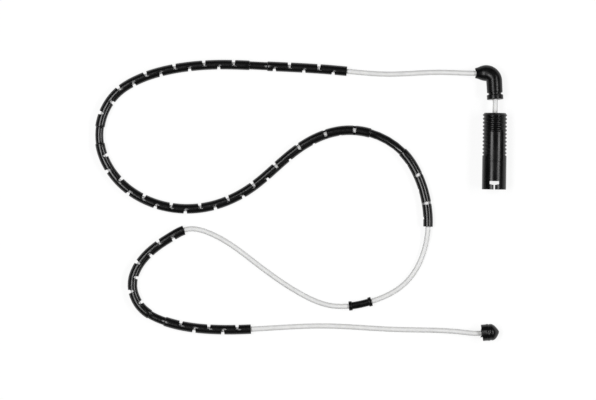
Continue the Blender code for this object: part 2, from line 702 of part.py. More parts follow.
def panel_data():
    """The raised panel over the ribs: part of a ring, sunk below the ribs' roots."""
    steps = 6
    top = PLUG_RADIUS + PANEL_RISE
    bottom = PLUG_RADIUS - RIB_DEPTH - GAP
    turns = [math.radians(PANEL_TURN + PANEL_ANGLE * (2 * k / steps - 1)) for k in range(steps + 1)]
    outline = [(bottom * math.sin(a), bottom * math.cos(a), PANEL_START) for a in turns]
    outline += [(top * math.sin(a), top * math.cos(a), PANEL_START) for a in reversed(turns)]
    return extruded("panel_adder", outline, (0, 0, PANEL_END - PANEL_START))


def slot_outline():
    """The T-shaped slot: a window, tapering to a slit that opens at the mating end."""
    past_end = PLUG_LENGTH + SLIT_LENGTH
    slit_start = PLUG_LENGTH - SLIT_LENGTH
    window_start = slit_start - SLOT_WINDOW_LENGTH
    half = SLOT_WINDOW_WIDTH / 2
    slit = SLIT_WIDTH / 2
    return [
        (-half, window_start), (half, window_start), (half, slit_start - SLOT_TAPER), (slit, slit_start),
        (slit, past_end), (-slit, past_end), (-slit, slit_start), (-half, slit_start - SLOT_TAPER),
    ]


def build_plug(line, black, dark, rubber, metal, core_finish):
    along, _, _ = line.frame(PLUG_REAR_AT + SEAL_BORE_DEPTH / 2)
    along[2] = 0
    axis = axis_empty("plug_axis", Vector(line.at(PLUG_REAR_AT)), along)

    housing = turned("plug_housing", housing_profile(), black, axis)
    boolean(housing, cutter("panel_adder", panel_data(), axis), "UNION")
    slots = prism("slot_cutter", slot_outline(), -2 * PLUG_RADIUS, 2 * PLUG_RADIUS)
    boolean(housing, cutter("slot_cutter", slots, axis), "DIFFERENCE")

    outer = SEAL_BORE_RADIUS - GAP
    retainer_end = RETAINER_INSET + RETAINER_LENGTH
    turned("rear_retainer", ring_profile(RETAINER_INSET, retainer_end, outer, CABLE_BORE), dark, axis)

    seal_start = retainer_end + GAP
    seal_end = SEAL_BORE_DEPTH - GAP
    lip = (seal_end - seal_start) / (2 * SEAL_LIPS - 1)
    seal = [(seal_start, CABLE_BORE)]
    for n in range(SEAL_LIPS):
        start = seal_start + 2 * n * lip
        if n > 0:
            seal.append((start, outer - SEAL_LIP_DEPTH))
        seal += [(start, outer), (start + lip, outer)]
        if n < SEAL_LIPS - 1:
            seal.append((start + lip, outer - SEAL_LIP_DEPTH))
    seal.append((seal_end, CABLE_BORE))
    turned("wire_seal", seal, rubber, axis)

    carrier_start = SEAL_BORE_DEPTH + SHOULDER_LENGTH + GAP
    carrier_end = PLUG_LENGTH - SOCKET_DEPTH
    rod_radius = CARRIER_BORE_RADIUS - GAP
    rod = rod_data("contact_carrier", rod_radius, carrier_start, carrier_end, steps=ROUND_STEPS)
    carrier = new_object("contact_carrier", rod, dark, axis)
    smooth(carrier)
    contact_end = carrier_end - GAP
    contact_start = contact_end - CONTACT_LENGTH
    core_start = SEAL_BORE_DEPTH + GAP
    contact_profile = ring_profile(contact_start, contact_end, CONTACT_RADIUS, CONTACT_BORE)
    for n, side in enumerate((-1, 1), 1):
        across = side * CONTACT_SPACING / 2
        bore_name = f"carrier_bore_{n}"
        bore = rod_data(bore_name, CONTACT_RADIUS + GAP, carrier_start - GAP, carrier_end + GAP, across)
        boolean(carrier, cutter(bore_name, bore, axis), "DIFFERENCE")
        contact = turned(f"contact_{n}", contact_profile, metal, axis, SMALL_STEPS)
        contact.location = (across, 0, 0)
        core = [
            (side * CABLE_RADIUS / 2, 0, core_start),
            (side * CABLE_RADIUS / 2, 0, core_start + GAP),
            (across, 0, carrier_start),
            (across, 0, contact_start + WIRE_OVERLAP),
        ]
        wire(f"plug_core_{n}", core, CORE_RADIUS, core_finish, axis, sides=1)

    ring_start = carrier_end + GAP
    ring_end = ring_start + INTERFACE_SEAL_LENGTH
    ring = ring_profile(ring_start, ring_end, SOCKET_RADIUS - GAP, INTERFACE_SEAL_BORE)
    turned("interface_seal", ring, rubber, axis)


def main():
    clear_scene()
    black = material("black_nylon", (0.012, 0.012, 0.013), 0.42)
    dark = material("dark_insert", (0.03, 0.03, 0.032), 0.5)
    rubber = material("black_rubber", (0.015, 0.015, 0.016), 0.55)
    sleeve_finish = material("black_sleeve", (0.012, 0.012, 0.013), 0.4)
    jacket = material("pale_jacket", (0.82, 0.82, 0.81), 0.35)
    core = material("core_insulation", (0.35, 0.3, 0.22), 0.45)
    copper = material("copper_wire", (0.72, 0.38, 0.22), 0.3, 1.0)
    tin = material("tinned_brass", (0.75, 0.73, 0.68), 0.3, 1.0)

    line = CableLine()
    build_cable(line, jacket)
    for sleeve in SLEEVES:
        build_sleeve(sleeve, line, sleeve_finish)
    build_grommet(line, rubber)
    build_boot(line, rubber)
    build_head(black, rubber, copper, tin, core)
    build_plug(line, black, dark, rubber, tin, core)
    bpy.context.view_layer.update()


main()
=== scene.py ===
"""Looks of a brake pad wear sensor: its cable, notched sleeves, boot, ribbed plug and domed head,
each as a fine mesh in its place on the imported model, with procedural materials and studio light.

Metres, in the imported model's frame. The head lies along +X with its underside on the surface.
"""

import json
import math
from collections import namedtuple

import bmesh
import bpy
import numpy as np
from mathutils import Matrix, Vector

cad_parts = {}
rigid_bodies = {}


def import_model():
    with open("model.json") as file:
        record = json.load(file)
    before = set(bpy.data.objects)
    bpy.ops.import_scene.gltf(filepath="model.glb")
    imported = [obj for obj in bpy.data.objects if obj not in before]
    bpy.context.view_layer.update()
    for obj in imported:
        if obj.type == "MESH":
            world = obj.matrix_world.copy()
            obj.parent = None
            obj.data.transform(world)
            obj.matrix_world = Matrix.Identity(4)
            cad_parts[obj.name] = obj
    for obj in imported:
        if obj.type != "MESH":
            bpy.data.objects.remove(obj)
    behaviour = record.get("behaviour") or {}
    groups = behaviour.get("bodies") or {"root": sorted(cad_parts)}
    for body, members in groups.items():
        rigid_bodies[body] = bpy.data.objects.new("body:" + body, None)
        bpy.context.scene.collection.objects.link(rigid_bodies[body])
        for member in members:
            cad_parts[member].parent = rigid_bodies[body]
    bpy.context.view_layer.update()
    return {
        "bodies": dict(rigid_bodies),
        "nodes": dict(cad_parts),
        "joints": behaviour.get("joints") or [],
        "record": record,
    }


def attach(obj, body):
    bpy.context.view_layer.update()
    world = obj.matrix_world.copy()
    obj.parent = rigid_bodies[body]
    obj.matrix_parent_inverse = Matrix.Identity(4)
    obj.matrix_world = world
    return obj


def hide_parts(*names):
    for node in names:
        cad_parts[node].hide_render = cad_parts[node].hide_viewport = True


MM = 0.001

# Photograph: its scale, the pixel at the middle of the head's rear face, and how the head lies in it
PHOTO_WIDTH = 596
PHOTO_HEIGHT = 400
METRES_PER_PIXEL = 0.7 * MM
HEAD_REAR_PIXEL = (481.35, 333.0)
HEAD_TURN = math.radians(8)

# Cable
CABLE_RADIUS = 1.75 * MM
LIE = 0.05 * MM
HEAD_DROP = 45 * MM
CLIMB = 16 * MM
BOOT_CLIMB = 40 * MM

# Sensor head, measured from its rear face
HEAD_LENGTH = 12.4 * MM
HEAD_RADIUS = 5.8 * MM
HEAD_FLAT = 5.45 * MM
HEAD_BORE_RADIUS = 4.2 * MM
HEAD_BORE_DEPTH = 7.2 * MM
RIDGE_AT = 4.7 * MM
GROOVE_AT = 6.0 * MM
NOSE_START = 7.2 * MM
GLAND_LIP_LENGTH = 1.6 * MM
GLAND_LIP_RADIUS = 3.1 * MM
GLAND_DEPTH = 1.8 * MM
HEAD_INSET = 0.4 * MM
HEAD_EDGE = 0.3 * MM
RIDGE_RISE = 0.2 * MM
GROOVE_SHAPE = (
    (-0.35 * MM, 0.08 * MM),
    (-0.2 * MM, 0.12 * MM),
    (0.2 * MM, 0.12 * MM),
    (0.35 * MM, 0.08 * MM),
)
NOSE_STEPS = 28
NOSE_ROUNDNESS = 0.35
NOSE_DRIFT = 0.07
LIP_SLANT = 1.2
HEAD_REAR_X = (GLAND_LIP_LENGTH - HEAD_LENGTH) / 2

# Notched sleeves, their sections and waists listed from the plug's end, their twist in degrees
SLEEVE_RADIUS = 3.4 * MM
SLEEVE_BORE = 2.25 * MM
WAIST_RADIUS = 2.85 * MM
WAIST_TAPER = 0.8 * MM
NOTCH_MOUTH = 2.4 * MM
NOTCH_FLOOR = 1.4 * MM
NOTCH_MARGIN = 4.5 * MM
SLEEVE_SECTORS = 40
SLEEVE_EDGE = 0.14 * MM
Sleeve = namedtuple("Sleeve", "node plug_end sections leads waists first_sides step twist")
SLEEVES = (
    Sleeve(
        node="long_sleeve",
        plug_end=1046.1 * MM,
        sections=(55.3 * MM, 123.0 * MM, 226.2 * MM, 56.3 * MM),
        leads=(9.4 * MM, 10.8 * MM, 8.9 * MM, 8.9 * MM),
        waists=(13.4 * MM, 12.6 * MM, 27.3 * MM),
        first_sides=(-1, 1, -1, 1),
        step=10.33 * MM,
        twist=(
            (0, 15), (90 * MM, 12), (165 * MM, 0), (300 * MM, -6),
            (345 * MM, -24), (412 * MM, -72), (480 * MM, -74), (515 * MM, -62),
        ),
    ),
    Sleeve(
        node="short_sleeve",
        plug_end=314.4 * MM,
        sections=(80.0 * MM, 60.4 * MM),
        leads=(9.6 * MM, 10.8 * MM),
        waists=(12.4 * MM,),
        first_sides=(-1, -1),
        step=10.0 * MM,
        twist=((0, 6), (153 * MM, 4)),
    ),
)

# Mounting grommet
GROMMET_AT = 453.2 * MM
GROMMET_LENGTH = 16.4 * MM
GROMMET_RADIUS = 2.55 * MM
GROMMET_FLANGE_RADIUS = 3.3 * MM
GROMMET_FLANGE = 2.4 * MM

# Elbow boot, a straight arm and leg joined by a bend about the elbow's inside corner
BOOT_START = 1136.2 * MM
BOOT_CORNER = (27.8 * MM, 174.1 * MM)
BOOT_BEND = 5.7 * MM
BOOT_ARM_HEADING = -7.2
BOOT_LEG_HEADING = -94.9
BOOT_ARM = 7.4 * MM
BOOT_LEG = 13.1 * MM
BOOT_SWEEP = BOOT_BEND * math.radians(BOOT_ARM_HEADING - BOOT_LEG_HEADING)
BOOT_LENGTH = BOOT_ARM + BOOT_SWEEP + BOOT_LEG
BOOT_THROAT_RADIUS = 3.9 * MM
BOOT_ELBOW_RADIUS = 5.6 * MM
BOOT_LEG_RADIUS = 5.5 * MM
BOOT_FLANGE_RADIUS = 5.75 * MM
BOOT_FLANGE = 3.2 * MM
BOOT_GROOVE = 1.5 * MM
BOOT_GROOVE_RADIUS = 4.5 * MM
BOOT_LIP_REACH = 1.3 * MM

# Plug, measured from its cable end
PLUG_REAR_AT = BOOT_START + BOOT_LENGTH + 9.2 * MM
PLUG_LENGTH = 53.7 * MM
PLUG_RADIUS = 8.5 * MM
RIB_COUNT = 11
RIB_PITCH = 2.65 * MM
FIRST_RIB = 1.6 * MM
RIB_DEPTH = 0.85 * MM
RIB_CREST = 0.8 * MM
PANEL_START = 13.0 * MM
PANEL_END = 34.0 * MM
PANEL_RISE = 0.35 * MM
PANEL_ANGLE = 36
PANEL_TURN = 12
SLOT_HALF_WIDTH = 3.25 * MM
SLOT_START = 47.8 * MM
SLIT_START = 50.5 * MM
SLOT_TAPER = 0.6 * MM
SLIT_HALF_WIDTH = 0.5 * MM
SLOT_SHIFT = 0.2 * MM
SOCKET_RADIUS = 6.7 * MM
SOCKET_START = 42.5 * MM
CARRIER_BORE_RADIUS = 5.9 * MM
SEAL_BORE_RADIUS = 6.2 * MM
SEAL_BORE_DEPTH = 15.5 * MM
SHOULDER_RADIUS = 4.6 * MM
SHOULDER_END = 17.5 * MM
CABLE_BORE = 2.05 * MM

# Studio: the softboxes stand at an angle to each side of straight overhead, at one distance
CAMERA_HEIGHT = 1.2
WORLD_LEVEL = 0.06
FLOOR_HALF = 20.0
FLOOR_DROP = 0.2 * MM
FLOOR_COLOR = (0.16, 0.16, 0.16, 1)
FLOOR_GLOW = 0.86
SOFTBOX_DISTANCE = 3.0
SOFTBOX_LENGTH = 2.4

# Colours that several materials share
DEEP_BLACK = (0.0015, 0.0015, 0.0016)
WORN_BLACK = (0.0035, 0.0035, 0.0037)
BLOOM_BLACK = (0.004, 0.004, 0.0042)

# The cable's route in plan, in millimetres from the middle of the head's rear face.
ROUTE = [
    (2.5, 0.0), (-2.4, 0.1), (-11.7, 2.1), (-59.5, 10.9), (-109.7, 20.4), (-190.5, 29.6),
    (-217.6, 38.6), (-233.6, 51.4), (-237.1, 68.0), (-227.1, 84.4), (-205.5, 97.0), (-193.2, 100.6),
    (-179.2, 96.0), (-149.6, 70.4), (-122.1, 45.3), (-102.4, 33.9), (-74.1, 32.5), (-47.8, 42.1),
    (-32.3, 61.4), (-28.5, 115.3), (-34.1, 128.8), (-46.0, 142.4), (-75.4, 153.8), (-107.5, 146.4),
    (-145.7, 123.0), (-178.5, 114.1), (-210.4, 120.0), (-237.3, 142.0), (-245.7, 173.1), (-230.4, 201.0),
    (-214.1, 208.9), (-186.6, 213.1), (-151.5, 211.0), (-127.2, 206.7), (-74.7, 196.2), (-38.8, 188.4),
    (-3.2, 184.7), (21.2, 180.7), (28.3, 179.6), (32.2, 177.6), (33.5, 173.4), (33.0, 167.0),
    (32.4, 160.5), (30.8, 150.5), (28.3, 134.4),
]


# Cable line

def spline_through(points, steps=24):
    """Dense points on the natural cubic spline through the points, its knots a chord apart."""
    points = np.array(points, float)
    chord = np.linalg.norm(np.diff(points, axis=0), axis=1)
    count = len(points)
    system = np.eye(count)
    right = np.zeros_like(points)
    for i in range(1, count - 1):
        system[i, i - 1 : i + 2] = chord[i - 1], 2 * (chord[i - 1] + chord[i]), chord[i]
        right[i] = 6 * ((points[i + 1] - points[i]) / chord[i] - (points[i] - points[i - 1]) / chord[i - 1])
    bend = np.linalg.solve(system, right)
    dense = []
    for i, span in enumerate(chord):
        t = np.linspace(0, 1, steps, endpoint=False)[:, None]
        u = 1 - t
        curve = u * points[i] + t * points[i + 1]
        dense.append(curve + span * span / 6 * ((u**3 - u) * bend[i] + (t**3 - t) * bend[i + 1]))
    return np.vstack(dense + [points[-1:]])


def rising_through(keys, at):
    """A height at each station on a smooth line through the keys that never overshoots them."""
    where, height = np.array(sorted(keys), float).T
    slope = np.diff(height) / np.diff(where)
    ends = np.zeros(len(where))
    for i in range(1, len(where) - 1):
        if slope[i - 1] * slope[i] > 0:
            ends[i] = 2 * slope[i - 1] * slope[i] / (slope[i - 1] + slope[i])
    i = np.clip(np.searchsorted(where, at, side="right") - 1, 0, len(where) - 2)
    span = where[i + 1] - where[i]
    t = np.clip((at - where[i]) / span, 0, 1)
    return (
        height[i] * (2 * t**3 - 3 * t**2 + 1)
        + height[i + 1] * (3 * t**2 - 2 * t**3)
        + span * (ends[i] * (t**3 - 2 * t**2 + t) + ends[i + 1] * (t**3 - t**2))
    )


class CableLine:
    """The cable's centreline by station, the distance along it from the head's rear face."""

    def __init__(self):
        plan = spline_through(ROUTE) * MM
        plan[:, 0] += HEAD_REAR_X
        arc = np.concatenate([[0], np.cumsum(np.linalg.norm(np.diff(plan, axis=0), axis=1))])
        # Only the points about the head's rear face, where the plan runs steadily backwards
        near_head = slice(0, 40)
        rear = np.interp(-HEAD_REAR_X, -plan[near_head, 0], arc[near_head])
        self.stations = arc - rear
        self.start = -GLAND_DEPTH - 0.3 * MM
        self.end = PLUG_REAR_AT + SEAL_BORE_DEPTH
        height = rising_through(self.height_keys(), self.stations)
        self.points = np.column_stack([plan, height])

    def height_keys(self):
        """The cable's height at chosen stations: on the surface, or raised by what it carries."""
        keys = [(self.start, HEAD_FLAT), (GLAND_LIP_LENGTH, HEAD_FLAT)]
        keys.append((HEAD_DROP, CABLE_RADIUS + LIE))
        grommet_half = GROMMET_LENGTH / 2
        carried = [(GROMMET_AT - grommet_half, GROMMET_AT + grommet_half, GROMMET_FLANGE_RADIUS)]
        for sleeve in SLEEVES:
            head_end = sleeve_layout(sleeve)[2]
            carried.append((head_end, sleeve.plug_end, SLEEVE_RADIUS))
        for start, end, radius in carried:
            keys += [(start - CLIMB, CABLE_RADIUS + LIE), (start, radius + LIE)]
            keys += [(end, radius + LIE), (end + CLIMB, CABLE_RADIUS + LIE)]
        keys.append((BOOT_START - BOOT_CLIMB, CABLE_RADIUS + LIE))
        keys.append((BOOT_START + BOOT_ARM, BOOT_ELBOW_RADIUS + LIE))
        keys += [(PLUG_REAR_AT, PLUG_RADIUS), (self.end, PLUG_RADIUS)]
        return keys

    def at(self, station):
        return np.array([np.interp(station, self.stations, self.points[:, k]) for k in range(3)])

    def frame(self, station):
        """Unit vectors at a station: along the cable, to its left, and upwards."""
        along = self.at(station + 0.4 * MM) - self.at(station - 0.4 * MM)
        along /= np.linalg.norm(along)
        left = np.cross((0, 0, 1), along)
        left /= np.linalg.norm(left)
        return along, left, np.cross(along, left)


def sleeve_layout(sleeve):
    """A sleeve's notches with the side of each, its waists, and its head end, all as stations."""
    notches = []
    waists = []
    reached = sleeve.plug_end
    for i, length in enumerate(sleeve.sections):
        lead = sleeve.leads[i]
        count = int((length - lead - NOTCH_MARGIN) / sleeve.step + 1e-6) + 1
        for k in range(count):
            side = sleeve.first_sides[i] * (-1) ** k
            notches.append((reached - lead - k * sleeve.step, side))
        reached -= length
        if i < len(sleeve.waists):
            waists.append((reached - sleeve.waists[i], reached))
            reached -= sleeve.waists[i]
    return sorted(notches), sorted(waists), reached


# Materials

def new_material(name):
    made = bpy.data.materials.new(name)
    made.use_nodes = True
    tree = made.node_tree
    return made, tree, tree.nodes["Principled BSDF"]


def add_node(tree, kind, **values):
    node = tree.nodes.new(kind)
    for key, value in values.items():
        if key in node.inputs:
            node.inputs[key].default_value = value
        else:
            setattr(node, key, value)
    return node


def noise(tree, scale, detail, stretch=None, uv=False):
    """Noise over the object's own coordinates, or over its UV map for what runs along a cable."""
    where = add_node(tree, "ShaderNodeTexCoord")
    source = where.outputs["UV" if uv else "Object"]
    if stretch:
        mapping = add_node(tree, "ShaderNodeMapping")
        mapping.inputs["Scale"].default_value = stretch
        tree.links.new(source, mapping.inputs["Vector"])
        source = mapping.outputs["Vector"]
    made = add_node(tree, "ShaderNodeTexNoise", Scale=scale, Detail=detail)
    tree.links.new(source, made.inputs["Vector"])
    return made.outputs["Fac"]


def spread(tree, value, low, high):
    """The middle of a noise's range, spread over low to high."""
    made = add_node(tree, "ShaderNodeMapRange")
    made.inputs["From Min"].default_value = 0.3
    made.inputs["From Max"].default_value = 0.7
    made.inputs["To Min"].default_value = low
    made.inputs["To Max"].default_value = high
    tree.links.new(value, made.inputs["Value"])
    return made.outputs["Result"]


def tint(tree, value, dark, light):
    """The middle of a noise's range, spread over two colours."""
    ramp = add_node(tree, "ShaderNodeValToRGB")
    ramp.color_ramp.elements[0].position = 0.3
    ramp.color_ramp.elements[0].color = (*dark, 1)
    ramp.color_ramp.elements[1].position = 0.7
    ramp.color_ramp.elements[1].color = (*light, 1)
    tree.links.new(value, ramp.inputs["Fac"])
    return ramp.outputs["Color"]


def bump(tree, shader, *layers):
    """Bump from several (height, distance) layers, one on another."""
    below = None
    for height, distance in layers:
        made = add_node(tree, "ShaderNodeBump", Strength=1.0, Distance=distance)
        tree.links.new(height, made.inputs["Height"])
        if below:
            tree.links.new(below, made.inputs["Normal"])
        below = made.outputs["Normal"]
    tree.links.new(below, shader.inputs["Normal"])


def moulded_nylon(name, dark, light, roughness, shine=0.3):
    """Satin moulded nylon: a fine eroded grain, faint flow marks and a slightly uneven sheen."""
    made, tree, shader = new_material(name)
    shader.inputs["Specular IOR Level"].default_value = shine
    grain = noise(tree, 5200, 3)
    flow = noise(tree, 160, 2, stretch=(1, 0.35, 1))
    tree.links.new(tint(tree, flow, dark, light), shader.inputs["Base Color"])
    tree.links.new(spread(tree, flow, roughness - 0.04, roughness + 0.05), shader.inputs["Roughness"])
    bump(tree, shader, (flow, 0.00003), (grain, 0.000012))
    return made


def soft_rubber(name, dark, light, roughness, shine=0.26):
    """Moulded rubber: a matt bloom in soft patches over a very fine grain."""
    made, tree, shader = new_material(name)
    shader.inputs["Specular IOR Level"].default_value = shine
    grain = noise(tree, 3800, 4)
    bloom = noise(tree, 420, 3)
    tree.links.new(tint(tree, bloom, dark, light), shader.inputs["Base Color"])
    tree.links.new(spread(tree, bloom, roughness - 0.05, roughness + 0.08), shader.inputs["Roughness"])
    bump(tree, shader, (grain, 0.000014), (bloom, 0.00002))
    return made


def extruded_sleeve():
    """Satin extruded plastic, with faint draw lines along the sleeve and scuffs across it."""
    made, tree, shader = new_material("satin_sleeve")
    shader.inputs["Specular IOR Level"].default_value = 0.5
    lines = noise(tree, 60, 2, stretch=(1.0, 0.02, 1.0), uv=True)
    scuff = noise(tree, 900, 4)
    patches = noise(tree, 130, 2)
    color = tint(tree, patches, DEEP_BLACK, WORN_BLACK)
    tree.links.new(color, shader.inputs["Base Color"])
    tree.links.new(spread(tree, scuff, 0.20, 0.28), shader.inputs["Roughness"])
    bump(tree, shader, (lines, 0.00003), (scuff, 0.000012))
    return made


def cable_jacket():
    """Smooth pale jacket: slightly translucent, with the twist of the two cores just showing."""
    made, tree, shader = new_material("pale_jacket")
    twist = add_node(tree, "ShaderNodeTexWave", Scale=1.0, Distortion=0.4)
    twist.bands_direction = "DIAGONAL"
    where = add_node(tree, "ShaderNodeTexCoord")
    mapping = add_node(tree, "ShaderNodeMapping")
    mapping.inputs["Scale"].default_value = (30, 2, 1)
    tree.links.new(where.outputs["UV"], mapping.inputs["Vector"])
    tree.links.new(mapping.outputs["Vector"], twist.inputs["Vector"])
    handling = noise(tree, 240, 4)
    color = tint(tree, handling, (0.76, 0.76, 0.755), (0.84, 0.84, 0.835))
    tree.links.new(color, shader.inputs["Base Color"])
    tree.links.new(spread(tree, handling, 0.3, 0.42), shader.inputs["Roughness"])
    shader.inputs["Subsurface Weight"].default_value = 0.15
    shader.inputs["Subsurface Radius"].default_value = (1, 1, 0.9)
    shader.inputs["Subsurface Scale"].default_value = 0.0006
    bump(tree, shader, (twist.outputs["Fac"], 0.000006), (handling, 0.000006))
    return made


def drawn_metal(name, dark, light, roughness):
    """Plated wire or tube: faint draw lines and a slightly uneven plating."""
    made, tree, shader = new_material(name)
    lines = noise(tree, 2600, 2, stretch=(1, 0.08, 1))
    plating = noise(tree, 700, 3)
    tree.links.new(tint(tree, plating, dark, light), shader.inputs["Base Color"])
    tree.links.new(spread(tree, lines, roughness - 0.06, roughness + 0.08), shader.inputs["Roughness"])
    shader.inputs["Metallic"].default_value = 1.0
    bump(tree, shader, (lines, 0.000006))
    return made


# Mesh building

def finish_piece(obj, material, slot, *nodes):
    """Gives a piece its material, and puts it in place of the CAD nodes."""
    obj.data.materials.clear()
    obj.data.materials.append(material)
    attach(obj, "root")
    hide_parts(*nodes)
    return obj


def object_from(mesh, name, sharp_angle=32):
    """The object of a finished bmesh, with its faces smooth up to an angle."""
    bmesh.ops.recalc_face_normals(mesh, faces=mesh.faces)
    data = bpy.data.meshes.new(name)
    mesh.to_mesh(data)
    mesh.free()
    data.shade_smooth()
    data.set_sharp_from_angle(angle=math.radians(sharp_angle))
    obj = bpy.data.objects.new(name, data)
    bpy.context.collection.objects.link(obj)
    return obj


def axis_matrix(position, along):
    """A placement whose Z axis runs along a piece, with its Y axis upwards."""
    z = Vector(along).normalized()
    y = (Vector((0, 0, 1)) - z * z.z).normalized()
    x = y.cross(z)
    return Matrix.Translation(position) @ Matrix((x, y, z)).transposed().to_4x4()


def turned(name, profile, placement, steps=96):
    """A mesh turned about its placement's Z axis, from a closed outline of (along, radius) points."""
    mesh = bmesh.new()
    rings = []
    for along, radius in profile:
        if radius < 1e-7:
            rings.append([mesh.verts.new((0, 0, along))] * steps)
            continue
        ring = []
        for k in range(steps):
            turn = 2 * math.pi * k / steps
            ring.append(mesh.verts.new((radius * math.cos(turn), radius * math.sin(turn), along)))
        rings.append(ring)
    for a, b in zip(rings, rings[1:] + rings[:1]):
        for k in range(steps):
            corners = []
            for vertex in (a[k], a[(k + 1) % steps], b[(k + 1) % steps], b[k]):
                if vertex not in corners:
                    corners.append(vertex)
            if len(corners) > 2:
                mesh.faces.new(corners)
    bmesh.ops.transform(mesh, matrix=placement, verts=mesh.verts)
    return object_from(mesh, name)


def arc(centre_along, centre_radius, size, start, end, steps=4):
    """Points on a rounded corner of an outline, from one angle to another in degrees."""
    points = []
    for k in range(steps + 1):
        turn = math.radians(start + (end - start) * k / steps)
        points.append((centre_along + size * math.cos(turn), centre_radius + size * math.sin(turn)))
    return points


def ring_profile(start, end, outer, inner, edge):
    """The outline of a plain ring with rounded outer edges."""
    return [
        (start, inner),
        *arc(start + edge, outer - edge, edge, 180, 90),
        *arc(end - edge, outer - edge, edge, 90, 0),
        (end, inner),
    ]


def cut(obj, tool, operation="DIFFERENCE"):
    """Applies a boolean with a tool object and removes the tool."""
    modifier = obj.modifiers.new("cut", "BOOLEAN")
    modifier.operation = operation
    modifier.object = tool
    modifier.solver = "EXACT"
    bpy.context.view_layer.update()
    graph = bpy.context.evaluated_depsgraph_get()
    data = bpy.data.meshes.new_from_object(obj.evaluated_get(graph))
    obj.modifiers.clear()
    obj.data = data
    bpy.data.objects.remove(tool, do_unlink=True)
    data.shade_smooth()
    data.set_sharp_from_angle(angle=math.radians(32))


def prism(name, outline, by, placement, edge=0.0):
    """A solid drawn out from a flat outline by a vector, with its edges rounded."""
    mesh = bmesh.new()
    face = mesh.faces.new([mesh.verts.new(point) for point in outline])
    made = bmesh.ops.extrude_face_region(mesh, geom=[face])["geom"]
    far_end = [item for item in made if isinstance(item, bmesh.types.BMVert)]
    bmesh.ops.translate(mesh, verts=far_end, vec=by)
    if edge:
        sharp = [e for e in mesh.edges if e.calc_face_angle(0) > math.radians(40)]
        bmesh.ops.bevel(mesh, geom=sharp, offset=edge, segments=3, profile=0.5, affect="EDGES")
    bmesh.ops.transform(mesh, matrix=placement, verts=mesh.verts)
    return object_from(mesh, name)


def swept(name, sectors, rings, place, solid):
    """A hollow mesh of rings of corners along the cable, open where solid(ring, sector) is false."""
    mesh = bmesh.new()
    outer = []
    inner = []
    for ring in rings:
        outer.append([mesh.verts.new(place(ring, j, True)) for j in range(sectors)])
        inner.append([mesh.verts.new(place(ring, j, False)) for j in range(sectors)])
    uv = mesh.loops.layers.uv.new("along_cable")

    def face(corners, marks):
        made = mesh.faces.new(corners)
        for loop, mark in zip(made.loops, marks):
            loop[uv].uv = mark

    def filled(i, j):
        return 0 <= i < len(rings) - 1 and solid(i, j % sectors)

    for i in range(len(rings)):
        for j in range(sectors):
            k = (j + 1) % sectors
            low, high = j / sectors, (j + 1) / sectors
            here = rings[i][0]
            there = rings[i + 1][0] if i + 1 < len(rings) else here
            if filled(i, j):
                marks = ((low, here), (high, here), (high, there), (low, there))
                face((outer[i][j], outer[i][k], outer[i + 1][k], outer[i + 1][j]), marks)
                face((inner[i][j], inner[i + 1][j], inner[i + 1][k], inner[i][k]), marks)
                if not filled(i, j - 1):
                    face((inner[i][j], outer[i][j], outer[i + 1][j], inner[i + 1][j]), marks)
                if not filled(i, j + 1):
                    face((outer[i][k], inner[i][k], inner[i + 1][k], outer[i + 1][k]), marks)
            if filled(i, j) != filled(i - 1, j):
                marks = ((low, here), (high, here), (high, here), (low, here))
                face((outer[i][j], outer[i][k], inner[i][k], inner[i][j]), marks)
    return object_from(mesh, name)


# Pieces

def build_cable(line):
    """The jacket as a mesh tube with caps, and the points that it follows."""
    stations = np.arange(line.start, line.end, 1.5 * MM)
    stations = np.append(stations, line.end)
    sides = 24
    mesh = bmesh.new()
    uv = mesh.loops.layers.uv.new("along_cable")
    rings = []
    for station in stations:
        _, left, up = line.frame(station)
        centre = line.at(station)
        ring = []
        for k in range(sides):
            turn = 2 * math.pi * k / sides
            ring.append(mesh.verts.new(centre + CABLE_RADIUS * (math.cos(turn) * left + math.sin(turn) * up)))
        rings.append(ring)
    for i in range(len(rings) - 1):
        for k in range(sides):
            n = (k + 1) % sides
            made = mesh.faces.new((rings[i][k], rings[i][n], rings[i + 1][n], rings[i + 1][k]))
            marks = ((k, i), (k + 1, i), (k + 1, i + 1), (k, i + 1))
            for loop, (around, step) in zip(made.loops, marks):
                loop[uv].uv = (around / sides, stations[step])
    mesh.faces.new(rings[0][::-1])
    mesh.faces.new(rings[-1])
    cable = object_from(mesh, "cable_jacket")
    return cable, [line.at(station) for station in stations]


